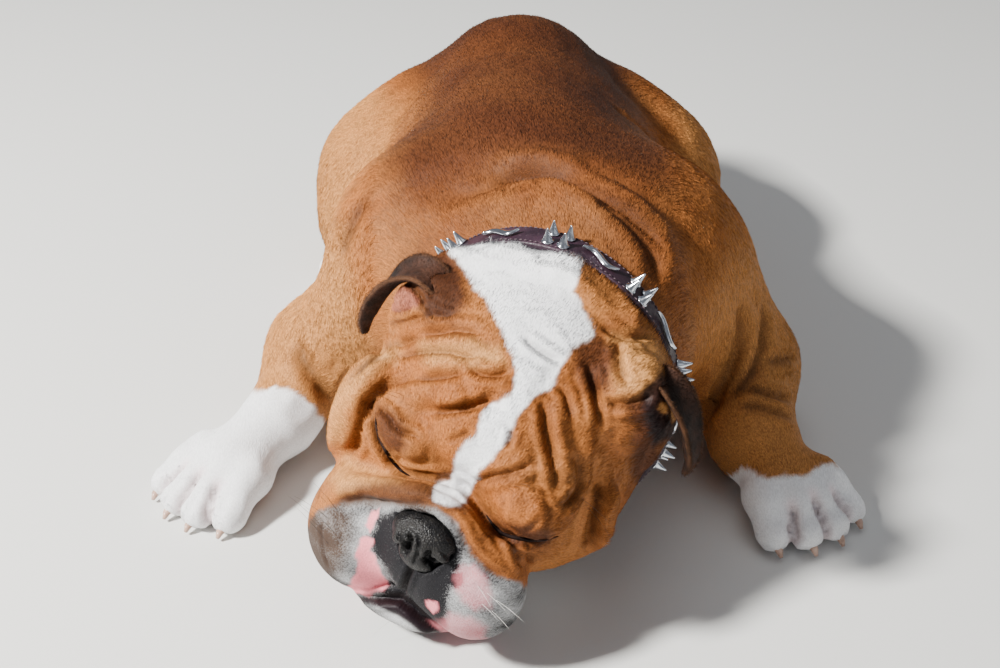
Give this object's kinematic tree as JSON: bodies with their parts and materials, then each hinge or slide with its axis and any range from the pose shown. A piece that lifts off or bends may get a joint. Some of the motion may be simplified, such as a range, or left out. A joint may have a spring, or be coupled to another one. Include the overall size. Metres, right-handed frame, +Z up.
{
  "type": "english bulldog",
  "caption": "Life-size still model of an English bulldog asleep on its belly, head on the ground, eyes shut, forelegs out to the sides, in a studded leather collar.",
  "frame": {"origin": "on the floor under the middle of the belly", "axes": "+Y from the head to the tail along the body, +Z up, +X to the dog's left"},
  "size_m": [0.4986, 0.6654, 0.2353],
  "materials": {
    "fawn_coat": "short smooth fur, warm red fawn",
    "white_coat": "short smooth fur, white",
    "ear_coat": "short velvety fur, dark brown",
    "nose_leather": "black pebbled nose skin, slightly moist",
    "collar_leather": "dark purple-brown strap leather, satin",
    "collar_steel": "polished plated metal"
  },
  "bodies": {
    "root": {"collar_buckle": "collar_steel", "collar_plate_1": "collar_steel", "collar_plate_2": "collar_steel", "collar_plate_3": "collar_steel", "collar_plate_4": "collar_steel", "collar_spike_01": "collar_steel", "collar_spike_02": "collar_steel", "collar_spike_03": "collar_steel", "collar_spike_04": "collar_steel", "collar_spike_05": "collar_steel", "collar_spike_06": "collar_steel", "collar_spike_07": "collar_steel", "collar_spike_08": "collar_steel", "collar_spike_09": "collar_steel", "collar_spike_10": "collar_steel", "collar_spike_11": "collar_steel", "collar_spike_12": "collar_steel", "collar_spike_13": "collar_steel", "collar_spike_14": "collar_steel", "collar_spike_15": "collar_steel", "collar_spike_16": "collar_steel", "collar_spike_17": "collar_steel", "collar_spike_18": "collar_steel", "collar_spike_19": "collar_steel", "collar_spike_20": "collar_steel", "collar_strap": "collar_leather", "ear_left": "ear_coat", "ear_right": "ear_coat", "forearm_left": "fawn_coat", "forearm_right": "fawn_coat", "forepaw_left": "white_coat", "forepaw_right": "white_coat", "head": "fawn_coat", "hind_paw_left": "white_coat", "hind_paw_right": "white_coat", "lower_hindleg_left": "fawn_coat", "lower_hindleg_right": "fawn_coat", "lower_jaw": "white_coat", "neck": "fawn_coat", "nose": "nose_leather", "tail": "fawn_coat", "thigh_left": "fawn_coat", "thigh_right": "fawn_coat", "torso": "fawn_coat", "upper_arm_left": "fawn_coat", "upper_arm_right": "fawn_coat"}
  },
  "joints": []
}
